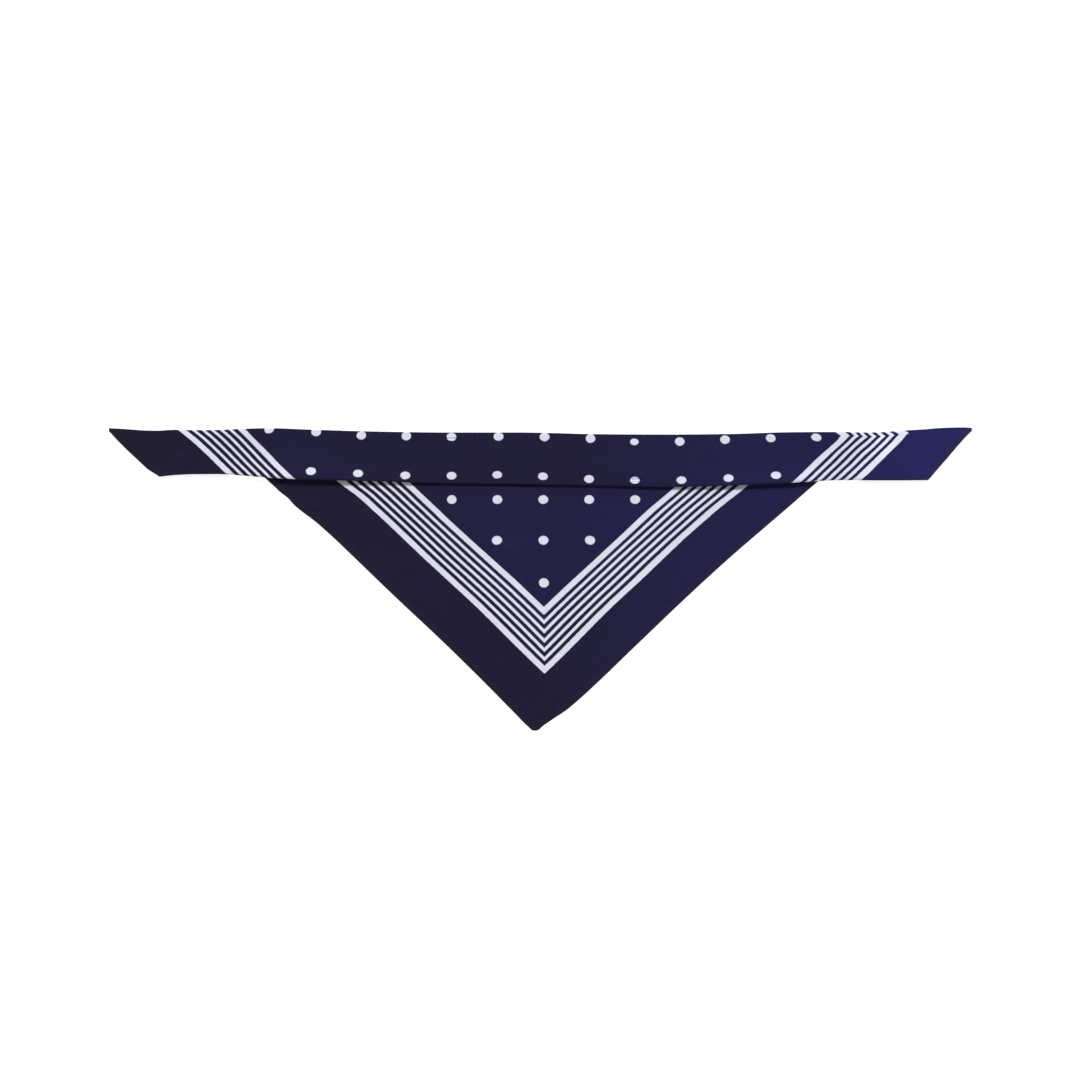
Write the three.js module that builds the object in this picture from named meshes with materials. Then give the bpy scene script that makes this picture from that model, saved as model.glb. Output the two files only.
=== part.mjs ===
// Dog scarf: one hemmed square of printed cotton, laid out folded on a flat surface.
//
// The square is folded on its diagonal, right side out, and then pleated once in a Z along that fold, so that a long
// band lies across the top of a hanging triangle. Seen in section across the band, the cloth runs in six lanes:
//
//      top edge                                        lower edge of the band
//        ,-- lane 6  band, front layer -----------------.
//        '-- lane 5  band, back layer --------           |
//       ,--- lane 4  back half of the pleat ------       |
//      | ,-- lane 3  front half of the pleat ----  ------'
//      | '-- lane 2  drop, front triangle ---------------------------------------  hem
//       '--- lane 1  drop, back triangle, on the surface ------------------------- hem
//
// Units are millimetres. X runs along the band, Y from the drop's point up to the band, +Z up from the surface.
// The origin is the middle of the outline, on the surface.
import * as THREE from 'three';
import { mergeVertices } from 'three/addons/utils/BufferGeometryUtils.js';

// ---------------------------------------------------------------- driving sizes
const WALL = 1.0; // thickness of one layer of cloth, loft included
const GAP = 0.3; // clear space between two layers
const PITCH = WALL + GAP; // from one lane to the next
const HALF = WALL / 2;
const INNER_TURN = PITCH / 2; // radius of a fold between neighbouring lanes
const OUTER_TURN = 1.5 * PITCH; // radius of a fold that wraps another one
const TOP_BUNDLE_INSET = 1.5; // the hidden top fold lies this far inside the band's top edge
const BACK_INSET = 7.8; // the back half's hem lies this far inside the front half's, along Y
const RETURN_INNER = 8; // how far a shown stretch runs on into the pleat, lane 3
const RETURN_OUTER = 5; // the same in lane 4, so that the pleat's ends are stepped
const SETTLE = 3.0; // past the back half's hem, the front half comes down over this width
const CLEAR_OF_HEM = 2.4; // and it starts that far outside it

const NAVY = 0x25223f;
const NAVY_HIDDEN = 0x201e38;

// ---------------------------------------------------------------- tables
// The band: a row for each section across it. top is its upper folded edge, low its lower folded edge.
const BAND = [
  { x: -405.5, top: 141.6, low: 97.3 },
  { x: -394.3, top: 140.9, low: 97.3 },
  { x: -383.0, top: 140.0, low: 97.3 },
  { x: -371.7, top: 139.4, low: 97.3 },
  { x: -358.6, top: 139.4, low: 97.4 },
  { x: -343.6, top: 140.1, low: 98.4 },
  { x: -323.9, top: 140.0, low: 99.0 },
  { x: -303.2, top: 140.0, low: 99.0 },
  { x: -278.8, top: 141.1, low: 97.5 },
  { x: -255.3, top: 141.3, low: 95.6 },
  { x: -215.0, top: 140.1, low: 93.7 },
  { x: -159.6, top: 138.4, low: 92.0 },
  { x: -84.5, top: 137.4, low: 89.6 },
  { x: -18.8, top: 137.3, low: 88.5 },
  { x: 56.3, top: 135.6, low: 87.3 },
  { x: 122.0, top: 135.4, low: 86.4 },
  { x: 176.1, top: 136.2, low: 87.5 },
  { x: 237.0, top: 137.7, low: 90.5 },
  { x: 283.5, top: 138.3, low: 93.4 },
  { x: 336.1, top: 139.6, low: 93.4 },
  { x: 362.3, top: 140.4, low: 93.9 },
  { x: 373.6, top: 141.5, low: 94.1 },
  { x: 384.9, top: 142.1, low: 94.1 },
  { x: 396.1, top: 142.2, low: 94.1 },
  { x: 405.5, top: 141.3, low: 94.1 },
];

// The band's slanted ends, where the hem shows: from the tip in to the lower corner.
const END_LEFT = [
  { x: -405.5, y: 140.9 },
  { x: -394.3, y: 128.2 },
  { x: -383.0, y: 117.2 },
  { x: -371.7, y: 106.5 },
  { x: -358.6, y: 97.4 },
];
const END_RIGHT = [
  { x: 362.3, y: 93.9 },
  { x: 368.0, y: 98.5 },
  { x: 373.6, y: 104.9 },
  { x: 384.9, y: 117.9 },
  { x: 396.1, y: 130.9 },
  { x: 405.5, y: 140.2 },
];

// The hem of the drop's front triangle, from where it starts under the band's top edge on the left, round the point,
// to the same on the right.
const HEM = [
  { x: -303.7, y: 139.0 },
  { x: -255.3, y: 94.7 },
  { x: -240.9, y: 79.7 },
  { x: -224.9, y: 64.7 },
  { x: -214.8, y: 57.2 },
  { x: -197.0, y: 42.1 },
  { x: -173.1, y: 19.6 },
  { x: -134.2, y: -17.9 },
  { x: -94.3, y: -55.5 },
  { x: -55.9, y: -93.0 },
  { x: -25.8, y: -123.1 },
  { x: -11.0, y: -138.1 },
  { x: -6.6, y: -142.0 },
  { x: -4.7, y: -142.2 },
  { x: -2.3, y: -141.7 },
  { x: 1.5, y: -138.2 },
  { x: 11.8, y: -130.6 },
  { x: 22.8, y: -123.1 },
  { x: 31.9, y: -115.6 },
  { x: 48.7, y: -100.5 },
  { x: 88.0, y: -63.0 },
  { x: 135.4, y: -17.9 },
  { x: 176.1, y: 19.6 },
  { x: 210.9, y: 49.7 },
  { x: 237.0, y: 72.2 },
  { x: 255.3, y: 87.2 },
  { x: 261.0, y: 91.6 },
  { x: 305.1, y: 137.9 },
];

// Where the pleat's hidden hems run: from the band's lower corners up to its top edge.
const PLEAT_HEM_LEFT = [
  { x: -358.6, y: 97.4 },
  { x: -303.7, y: 139.0 },
];
const PLEAT_HEM_RIGHT = [
  { x: 305.1, y: 137.9 },
  { x: 362.3, y: 93.9 },
];

// How far the pleat and the band come down towards their ends: two layers where the drop stops, two more at the tips.
const SINK = [
  { x: -396.0, sink: 4 * PITCH },
  { x: -360.5, sink: 2 * PITCH },
  { x: -325.0, sink: 2 * PITCH },
  { x: -290.5, sink: 0 },
  { x: 293.0, sink: 0 },
  { x: 327.0, sink: 2 * PITCH },
  { x: 364.0, sink: 2 * PITCH },
  { x: 396.0, sink: 4 * PITCH },
];

// ---------------------------------------------------------------- reading the tables
// Straight lines between rows, carried on past the ends.
function along(rows, x, column = 'y') {
  let i = 1;
  while (i < rows.length - 1 && x > rows[i].x) i++;
  const a = rows[i - 1];
  const b = rows[i];
  return a[column] + ((b[column] - a[column]) * (x - a.x)) / (b.x - a.x);
}
const held = (x, rows) => Math.min(Math.max(x, rows[0].x), rows[rows.length - 1].x);
const topEdge = (x) => along(BAND, held(x, BAND), 'top');
const lowEdge = (x) => along(BAND, held(x, BAND), 'low');
const smooth = (t) => {
  const c = Math.min(1, Math.max(0, t));
  return c * c * (3 - 2 * c);
};

// Hem of a lane's cloth as a height Y over X. Lanes 1 and 2 are the drop, 3 and 4 the pleat, 5 and 6 the band. The
// back half of the square (1, 4, 5) ends a little inside the front half (2, 3, 6).
const pleatHem = (x) => (x < 0 ? along(PLEAT_HEM_LEFT, x) : along(PLEAT_HEM_RIGHT, x));
const bandEnd = (x) => (x < 0 ? along(END_LEFT, x) : along(END_RIGHT, x));
const hem = {
  1: (x) => along(HEM, x) + BACK_INSET,
  2: (x) => along(HEM, x),
  3: (x) => pleatHem(x),
  4: (x) => pleatHem(x) - BACK_INSET,
  5: (x) => bandEnd(x) + BACK_INSET,
  6: (x) => bandEnd(x),
};
// Where lane 5 ends in a section: at the band's lower turn, or at its own hem towards the tips.
const doubling = (x) => topEdge(x) - INNER_TURN - HALF;
const lowBundle = (x) => lowEdge(x) + OUTER_TURN + HALF;
const bandBackEnd = (x) => Math.min(Math.max(lowBundle(x), hem[5](x)), doubling(x) - 0.5);
// How far the strip of front cloth outside a back hem has come down, from 0 to one pitch. The hems lie at 45 degrees.
const pastHem = (backEnd, y) => PITCH * smooth(((backEnd - y) * Math.SQRT1_2 - CLEAR_OF_HEM) / SETTLE);
// Height of the middle of a lane. The pleat and the band sink where nothing is left under them.
function laneZ(lane, x, y) {
  const z = HALF + PITCH * (lane - 1);
  if (lane === 1) return z;
  if (lane === 2) return z - pastHem(hem[1](x), y);
  const sink = along(SINK, held(x, SINK), 'sink');
  return z - sink - (lane === 6 && bandEnd(x) > lowBundle(x) ? pastHem(bandBackEnd(x), y) : 0);
}

// Centre of the hidden top fold in Y.
const topBundle = (x) => topEdge(x) - TOP_BUNDLE_INSET - OUTER_TURN - HALF;

// ---------------------------------------------------------------- paths of cloth in a section
// A path is a list of places { y, z, ny, nz } along the middle of a layer, with the direction across the layer.
// way is 1 for a stretch that runs towards +Y and -1 for one that comes back.
function lane(path, number, x, y0, y1, steps, way) {
  for (let i = 0; i <= steps; i++) {
    const y = y0 + ((y1 - y0) * i) / steps;
    path.push({ y, z: laneZ(number, x, y), ny: 0, nz: way });
  }
}
// A fold from one lane to another round the centre yc, bulging towards +Y (side 1) or -Y (side -1). share of 1 is the
// whole turn; less leaves out its beginning. way is 1 if the path goes up and -1 if it goes down.
function turn(path, x, from, to, yc, radius, side, steps, share = 1) {
  const z0 = laneZ(from, x, yc);
  const z1 = laneZ(to, x, yc);
  const mid = (z0 + z1) / 2;
  const rz = (z1 - z0) / 2; // negative when the path goes down
  for (let i = 0; i <= steps; i++) {
    const t = -Math.PI / 2 + Math.PI * (1 - share + (share * i) / steps);
    const up = Math.sign(rz) || 1;
    path.push({
      y: yc + side * radius * Math.cos(t),
      z: mid + rz * Math.sin(t),
      ny: -up * Math.cos(t),
      nz: -side * Math.sin(t),
    });
  }
}

// ---------------------------------------------------------------- closed bodies from sections
// sections: [{ x, ring: [[y, z], ...] }], all rings with the same number of places. Places that coincide are one
// vertex, and the faces that this leaves with no area are dropped.
function body(name, colour, sections) {
  const flat = (ring) => ring.map(([y, z]) => new THREE.Vector2(y, z));
  // Every ring runs counter-clockwise in Y, Z, so that the sides face out.
  if (THREE.ShapeUtils.area(flat(sections[0].ring)) < 0) {
    sections = sections.map((s) => ({ x: s.x, ring: [...s.ring].reverse() }));
  }
  const corners = [];
  const tri = [];
  const key = new Map();
  const vertex = (x, [y, z]) => {
    const k = [x, y, z].map((v) => Math.round(v * 200)).join();
    if (!key.has(k)) {
      key.set(k, corners.length / 3);
      corners.push(x, y, z);
    }
    return key.get(k);
  };
  const face = (a, b, c) => {
    if (a !== b && b !== c && a !== c) tri.push(a, b, c);
  };
  const rings = sections.map((s) => s.ring.map((p) => vertex(s.x, p)));
  for (let i = 0; i + 1 < rings.length; i++) {
    const n = rings[i].length;
    for (let j = 0; j < n; j++) {
      const a = rings[i][j];
      const b = rings[i][(j + 1) % n];
      const c = rings[i + 1][(j + 1) % n];
      const d = rings[i + 1][j];
      face(a, b, c);
      face(a, c, d);
    }
  }
  const cap = (section, ring, facing) => {
    const keep = [];
    ring.forEach((v, j) => {
      if (v !== ring[(j + ring.length - 1) % ring.length]) keep.push(j);
    });
    const contour = keep.map((j) => new THREE.Vector2(section.ring[j][0], section.ring[j][1]));
    for (const three of THREE.ShapeUtils.triangulateShape(contour, [])) {
      const [p, q, r] = three.map((j) => ring[keep[j]]);
      const turns = THREE.ShapeUtils.area(three.map((j) => contour[j]));
      if (turns * facing > 0) face(p, q, r);
      else face(p, r, q);
    }
  };
  cap(sections[0], rings[0], -1);
  cap(sections[sections.length - 1], rings[rings.length - 1], 1);
  let geometry = new THREE.BufferGeometry();
  geometry.setAttribute('position', new THREE.Float32BufferAttribute(corners, 3));
  geometry.setIndex(tri);
  geometry = mergeVertices(geometry, 1e-4);
  geometry.computeVertexNormals();
  const material = new THREE.MeshStandardMaterial({ color: colour, roughness: 0.88, metalness: 0 });
  const mesh = new THREE.Mesh(geometry, material);
  mesh.name = name;
  return mesh;
}
// The ring round a wall: out along one side of its path and back along the other.
function wall(path) {
  const one = path.map((p) => [p.y + HALF * p.ny, p.z + HALF * p.nz]);
  const other = path.map((p) => [p.y - HALF * p.ny, p.z - HALF * p.nz]);
  return one.concat(other.reverse());
}
// Stations: every row of the tables inside the range, its two ends, and a few between rows that are far apart.
function stations(from, to, tables, widest) {
  const xs = new Set([from, to]);
  for (const rows of tables) for (const r of rows) if (r.x > from + 1.5 && r.x < to - 1.5) xs.add(r.x);
  const sorted = [...xs].sort((a, b) => a - b).filter((x, i, all) => i === 0 || x === to || x - all[i - 1] > 1.2);
  const out = [];
  sorted.forEach((x, i) => {
    if (i) {
      const n = Math.ceil((x - sorted[i - 1]) / widest);
      for (let k = 1; k < n; k++) out.push(sorted[i - 1] + ((x - sorted[i - 1]) * k) / n);
    }
    out.push(x);
  });
  return out;
}

// ---------------------------------------------------------------- the drop
// The triangles run from the x where their hem comes out of the top fold on the left to the same on the right.
const DROP_LEFT = -289.5;
const DROP_RIGHT = 292.0;
const EDGE_STRIP = 14; // the last of a layer along Y before its hem, which comes down past the hem below

function dropBack(x) {
  const path = [];
  lane(path, 1, x, hem[1](x), topBundle(x), 2, 1);
  turn(path, x, 1, 4, topBundle(x), OUTER_TURN, 1, 6);
  lane(path, 4, x, topBundle(x), topBundle(x) - RETURN_OUTER, 1, -1);
  return { x, ring: wall(path) };
}
function dropFront(x) {
  const path = [];
  const start = hem[2](x);
  const flat = Math.min(start + EDGE_STRIP, (start + topBundle(x)) / 2);
  lane(path, 2, x, start, flat, 5, 1);
  lane(path, 2, x, flat, topBundle(x), 1, 1);
  turn(path, x, 2, 3, topBundle(x), INNER_TURN, 1, 4);
  lane(path, 3, x, topBundle(x), topBundle(x) - RETURN_INNER, 1, -1);
  return { x, ring: wall(path) };
}

// ---------------------------------------------------------------- the band
// Where the hem passes round the band's lower turn: out of it first, in to the pleat second.
const TURN_ENDS = [{ x: -362.4 }, { x: -355.2 }, { x: 366.0 }, { x: 358.9 }];
// How much cloth is left past the start of the lower turn, counted along the section: negative on the slanted ends,
// where the hem lies in lane 6 itself.
function pastTurn(x) {
  const yc = lowBundle(x);
  const full = Math.PI * OUTER_TURN;
  const end = bandEnd(x);
  const inPleat = pleatHem(x);
  if (Math.abs(x) > 300 && end >= yc) return yc - end;
  if (inPleat >= yc) return full + inPleat - yc;
  // between the two, the hem runs round the turn
  const [a, b] = TURN_ENDS.filter((r) => r.x * x > 0).map((r) => r.x);
  return full * Math.min(1, Math.max(0, (x - a) / (b - a)));
}
function band(x) {
  const yc = lowBundle(x);
  const top = topEdge(x);
  const left = pastTurn(x);
  const full = Math.PI * OUTER_TURN;
  const share = Math.min(1, Math.max(0, left / full));
  const back = Math.min(RETURN_INNER, Math.max(0, left - full));
  const y6 = Math.max(yc, left < 0 ? yc - left : yc);
  // near the tips the section is squeezed in Y, so that its fold still fits in
  const height = top - y6;
  const fits = Math.max(height, INNER_TURN + HALF + 1.2);
  const squeeze = height / fits;
  const start6 = top - fits;
  const y5 = bandBackEnd(x);
  const path = [];
  turn(path, x, 3, 6, yc, OUTER_TURN, -1, 6, share);
  if (share === 0) for (const p of path) Object.assign(p, { y: start6, z: laneZ(6, x, start6), ny: 0, nz: 1 });
  // the return into the pleat comes first; where there is none it shrinks into the first place of what is left
  if (back > 0) {
    const first = [];
    lane(first, 3, x, yc + back, yc, 2, -1);
    path.unshift(...first);
  } else path.unshift(path[0], path[0], path[0]);
  const from6 = share === 0 ? start6 : yc;
  const strip6 = Math.min(from6 + EDGE_STRIP, (from6 + doubling(x)) / 2);
  lane(path, 6, x, from6, strip6, 4, 1);
  lane(path, 6, x, strip6, doubling(x), 2, 1);
  turn(path, x, 6, 5, doubling(x), INNER_TURN, 1, 4);
  lane(path, 5, x, doubling(x), y5, 4, -1);
  if (squeeze < 1) for (const p of new Set(path)) p.y = top - (top - p.y) * squeeze;
  const ring = wall(path);
  return { x, ring: squeeze < 1 ? ring.map(([y, z]) => [Math.min(y, top), z]) : ring };
}

// ---------------------------------------------------------------- the hidden layers
// Lanes 3 and 4 between the returns of the stretches that show, as one body. Each layer has its own rounded edge, and
// they end a step apart, as the two halves of the square do.
const HIDDEN_LEFT = -331.0;
const HIDDEN_RIGHT = 337.0;
const EDGE_ROUND = 0.3;
function hidden(x) {
  const low4 = lowBundle(x); // lane 4 starts inside the band's lower turn
  const low3 = low4 + RETURN_INNER + GAP; // and lane 3 past the band's return
  const high3 = Math.min(topBundle(x) - RETURN_INNER - GAP, hem[3](x));
  const high4 = Math.min(topBundle(x) - RETURN_OUTER - GAP, hem[4](x));
  const r = EDGE_ROUND;
  const under = (number, y) => [y, laneZ(number, x, y) - HALF];
  const over = (number, y) => [y, laneZ(number, x, y) + HALF];
  const up = ([y, z], d) => [y, z + d];
  const ring = [];
  // lane 4's lower edge, rounded, and its underside over the return
  ring.push(over(4, low4 + r), up(over(4, low4), -r), up(under(4, low4), r), under(4, low4 + r));
  // the step down to lane 3, and its underside
  ring.push(under(4, low3), up(under(3, low3), r), under(3, low3 + r));
  for (let i = 1; i <= 4; i++) ring.push(under(3, low3 + r + ((high3 - low3 - 2 * r) * i) / 4));
  ring.push(up(under(3, high3), r));
  // the upper edges of both layers, whichever of them reaches further
  if (high4 > high3) ring.push(under(4, high3), under(4, high4 - r), up(under(4, high4), r));
  else ring.push(over(3, high3), over(3, high4), under(4, high4));
  ring.push(up(over(4, high4), -r), over(4, high4 - r));
  for (let i = 1; i < 5; i++) ring.push(over(4, high4 - r + ((low4 - high4 + 2 * r) * i) / 5));
  return { x, ring };
}

// ---------------------------------------------------------------- the scarf
const scarf = new THREE.Group();
scarf.name = 'dog_scarf';

const drop = new THREE.Group();
const dropStations = stations(DROP_LEFT, DROP_RIGHT, [HEM], 30);
drop.add(body('drop_back', NAVY, dropStations.map(dropBack)));
drop.add(body('drop_front', NAVY, dropStations.map(dropFront)));
scarf.add(drop);

const pleat = new THREE.Group();
pleat.add(body('hidden_folds', NAVY_HIDDEN, stations(HIDDEN_LEFT, HIDDEN_RIGHT, [BAND, SINK], 40).map(hidden)));
pleat.add(
  body(
    'band_front',
    NAVY,
    stations(-405.5, 405.5, [BAND, END_LEFT, END_RIGHT, SINK, TURN_ENDS], 40).map(band),
  ),
);
scarf.add(pleat);

export default scarf;
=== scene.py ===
"""Dog scarf: the looks of one hemmed square of printed cotton, folded on its diagonal and pleated, laid out flat.

The cloth is followed through its six lanes, from the surface up:
  1 drop, back triangle   2 drop, front triangle   3, 4 inside the pleat   5 band, back layer   6 band, front layer
Sizes are in millimetres in the object's own frame: X along the band, Y from the drop's point to the band, Z up.
u and v are the cloth's own coordinates along the square's two diagonals, in dot pitches; v is 0 on the fold line,
negative on the front half and positive on the back half.
"""

import math

import bpy
import numpy as np
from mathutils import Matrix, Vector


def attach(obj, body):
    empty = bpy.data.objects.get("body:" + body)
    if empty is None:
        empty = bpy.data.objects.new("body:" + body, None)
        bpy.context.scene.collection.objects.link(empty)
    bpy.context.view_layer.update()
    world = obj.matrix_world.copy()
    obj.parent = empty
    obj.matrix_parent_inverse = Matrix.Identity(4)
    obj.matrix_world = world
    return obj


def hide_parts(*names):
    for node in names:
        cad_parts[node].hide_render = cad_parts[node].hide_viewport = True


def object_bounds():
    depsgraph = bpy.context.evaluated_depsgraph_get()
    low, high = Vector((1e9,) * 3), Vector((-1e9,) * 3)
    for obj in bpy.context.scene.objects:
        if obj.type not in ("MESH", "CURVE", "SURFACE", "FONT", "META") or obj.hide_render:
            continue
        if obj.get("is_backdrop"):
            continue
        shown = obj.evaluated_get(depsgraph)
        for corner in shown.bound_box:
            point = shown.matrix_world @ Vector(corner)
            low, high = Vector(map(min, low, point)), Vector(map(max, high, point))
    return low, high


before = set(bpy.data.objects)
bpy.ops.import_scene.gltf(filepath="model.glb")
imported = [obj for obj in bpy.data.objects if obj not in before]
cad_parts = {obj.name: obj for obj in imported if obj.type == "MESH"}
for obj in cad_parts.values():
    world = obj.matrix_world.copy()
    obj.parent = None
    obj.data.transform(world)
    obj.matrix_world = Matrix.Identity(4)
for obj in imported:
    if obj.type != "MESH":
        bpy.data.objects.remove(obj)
cad_low, cad_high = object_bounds()


def rows(columns, *values):
    """A table with named columns."""
    made = np.array(values, float)
    return {name: made[:, i] for i, name in enumerate(columns.split())}


# ---------------------------------------------------------------- the square
DOT_PITCH = 41.02  # from dot to dot along a diagonal, on the unstretched cloth
HALF_DIAGONAL = 9.48  # centre of the square to its corner, in dot pitches
PRINT_SHIFT = 0.06  # the print sits this far off the middle of the square, in dot pitches
PITCH_ACROSS = 38.0  # a dot pitch across the band as laid, where the cloth is pulled along the band
STRIPES_IN, STRIPES_OUT = 6.538, 8.010  # the border, out from the centre of the print along its diagonals

# ---------------------------------------------------------------- the cloth's make
HALF = 0.18  # half the thickness of one layer
HEM_WIDTH = 6.0  # the edge is turned twice and stitched
HEM_RIGHT = 0.05  # how much thicker it is there, on the right side
HEM_WRONG = 0.34  # and on the wrong side
STITCH_IN = 5.0  # the stitching lies this far in from the edge
EDGE_ROUND = 0.34
REST = 0.25  # middle of the lowest layer above the surface
PITCH = 0.95  # from one layer to the next where they lie loosely
HEM_LIFT = 0.30  # a hem that lies on the surface is this much higher, being thicker

# ---------------------------------------------------------------- the laid form
BAND = rows(
    "x top low",
    (-405.5, 142.2, 96.3),
    (-402.0, 141.9, 96.3),
    (-394.3, 141.6, 96.3),
    (-383.0, 140.8, 96.3),
    (-371.7, 140.0, 96.3),
    (-358.6, 139.8, 96.4),
    (-352.0, 140.3, 97.1),
    (-343.6, 140.6, 97.9),
    (-323.9, 140.3, 98.7),
    (-303.2, 140.4, 98.8),
    (-278.8, 141.4, 97.3),
    (-255.3, 141.9, 95.4),
    (-215.0, 140.6, 93.5),
    (-159.6, 138.9, 92.2),
    (-84.5, 137.9, 90.1),
    (-18.8, 137.9, 89.2),
    (56.3, 136.3, 87.9),
    (122.0, 136.0, 86.6),
    (176.1, 136.5, 87.9),
    (237.0, 138.2, 90.8),
    (283.5, 138.4, 93.1),
    (302.0, 138.0, 93.0),
    (320.0, 138.4, 92.9),
    (336.1, 139.6, 92.9),
    (362.3, 141.2, 93.2),
    (373.6, 142.2, 93.4),
    (384.9, 142.7, 93.4),
    (396.1, 142.9, 93.4),
    (405.5, 142.4, 93.4),
)
END_LEFT = rows(
    "x y",
    (-405.5, 138.9),
    (-403.2, 136.8),
    (-400.3, 133.5),
    (-396.8, 129.8),
    (-389.3, 122.3),
    (-381.3, 114.8),
    (-373.2, 107.2),
    (-369.0, 103.4),
    (-363.1, 99.7),
    (-358.2, 96.7),
    (-345.0, 84.6),
)
END_RIGHT = rows(
    "x y",
    (348.0, 80.0),
    (364.2, 93.4),
    (366.7, 96.0),
    (369.9, 99.7),
    (376.5, 107.3),
    (383.0, 114.8),
    (389.3, 122.3),
    (395.9, 129.8),
    (402.8, 137.3),
    (405.5, 139.6),
)
HEM = rows(
    "x y",
    (-303.7, 139.0),
    (-258.2, 94.7),
    (-250.2, 87.2),
    (-244.1, 81.6),
    (-236.9, 75.9),
    (-232.8, 71.2),
    (-227.8, 66.6),
    (-220.4, 60.9),
    (-215.3, 57.2),
    (-197.8, 42.1),
    (-174.1, 19.6),
    (-135.1, -17.9),
    (-95.0, -55.5),
    (-56.6, -93.0),
    (-26.9, -123.1),
    (-12.0, -138.1),
    (-7.2, -142.0),
    (-4.8, -142.2),
    (-2.3, -141.7),
    (1.8, -138.2),
    (12.7, -130.6),
    (24.0, -123.1),
    (33.1, -115.6),
    (49.8, -100.5),
    (88.9, -63.0),
    (136.1, -17.9),
    (177.0, 19.6),
    (211.8, 49.7),
    (238.0, 72.2),
    (255.1, 87.2),
    (260.4, 91.6),
    (305.1, 137.9),
)
PLEAT_LEFT = rows("x y", (-358.2, 96.7), (-303.7, 139.0))
PLEAT_RIGHT = rows("x y", (305.1, 137.9), (364.2, 93.4))
BACK_INSET = 7.8  # the back half's hem lies this far inside the front half's, along Y

# How full the two folded edges of the pleat are: the space from layer to layer in the fold.
LOFT = rows(
    "x low top",
    (-405.5, 0.92, 0.95),
    (-340.0, 1.02, 1.00),
    (-270.0, 1.25, 1.10),
    (-225.0, 1.30, 1.15),
    (-150.0, 1.00, 1.10),
    (-90.0, 0.82, 1.05),
    (-60.0, 0.78, 1.05),
    (20.0, 0.76, 1.10),
    (110.0, 0.84, 1.00),
    (175.0, 1.08, 1.10),
    (235.0, 1.28, 1.15),
    (280.0, 1.22, 1.10),
    (345.0, 1.02, 1.00),
    (405.5, 0.92, 0.95),
)
# How far the pleat's lower edge stands off the drop or the surface.
LIFT = rows(
    "x low",
    (-405.5, 0.0),
    (-350.0, 0.3),
    (-300.0, 1.0),
    (-262.0, 1.6),
    (-225.0, 1.9),
    (-185.0, 1.6),
    (-150.0, 1.1),
    (-120.0, 0.45),
    (-60.0, 0.05),
    (60.0, 0.02),
    (140.0, 0.2),
    (180.0, 0.95),
    (225.0, 1.35),
    (262.0, 1.3),
    (300.0, 0.8),
    (350.0, 0.2),
    (405.5, 0.0),
)

# ---------------------------------------------------------------- where the print lies
# Along the band: x and y of the print's own line v = 0 and of v = -1.
PRINT_FOLD = rows(
    "u x y",
    (-9.54, -405.5, 141.5),
    (-8.015, -341.2, 140.2),
    (-6.53, -276.0, 140.7),
    (-6.0, -254.4, 140.8),
    (-5.0, -210.3, 138.5),
    (-4.0, -168.0, 135.1),
    (-3.0, -125.8, 134.6),
    (-2.0, -83.5, 133.7),
    (-1.0, -39.4, 134.1),
    (0.0, 3.8, 133.7),
    (1.0, 46.9, 132.3),
    (2.0, 88.0, 129.0),
    (3.0, 130.6, 129.4),
    (4.0, 173.0, 131.1),
    (5.0, 215.9, 132.5),
    (6.0, 258.3, 133.2),
    (6.53, 281.2, 134.7),
    (6.83, 293.6, 134.8),
    (7.13, 306.5, 133.9),
    (7.43, 319.2, 134.3),
    (7.83, 336.4, 136.0),
    (8.015, 345.2, 137.3),
    (9.42, 405.5, 141.1),
)
PRINT_ROW = rows(
    "u x y",
    (-9.54, -414.3, 105.5),
    (-8.54, -370.2, 105.5),
    (-7.015, -302.4, 105.8),
    (-5.53, -239.3, 102.9),
    (-5.0, -215.2, 101.5),
    (-4.0, -171.0, 99.4),
    (-3.0, -126.8, 97.5),
    (-2.0, -83.4, 97.3),
    (-1.0, -40.6, 98.2),
    (0.0, 2.3, 96.7),
    (1.0, 45.5, 94.2),
    (2.0, 88.5, 93.0),
    (3.0, 132.2, 93.1),
    (4.0, 176.2, 95.0),
    (5.0, 220.7, 97.7),
    (5.53, 244.7, 99.2),
    (7.015, 309.7, 101.0),
    (8.42, 370.6, 101.5),
    (9.42, 414.0, 101.7),
)
# Down the drop: the height y of each line of the print, the x of its middle and its dot pitch.
PRINT_DROP = rows(
    "v y middle pitch",
    (-9.48, -142.1, -2.1, 50.69),
    (-9.16, -130.6, -0.6, 47.40),
    (-8.75, -115.6, 2.0, 44.68),
    (-8.015, -88.6, 3.8, 42.99),
    (-6.53, -25.4, 3.3, 43.37),
    (-6.0, -3.2, 3.2, 43.74),
    (-5.0, 36.8, 2.8, 43.46),
    (-4.0, 75.0, 2.6, 43.09),
    (-2.2, 144.9, 2.4, 43.09),
)
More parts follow.
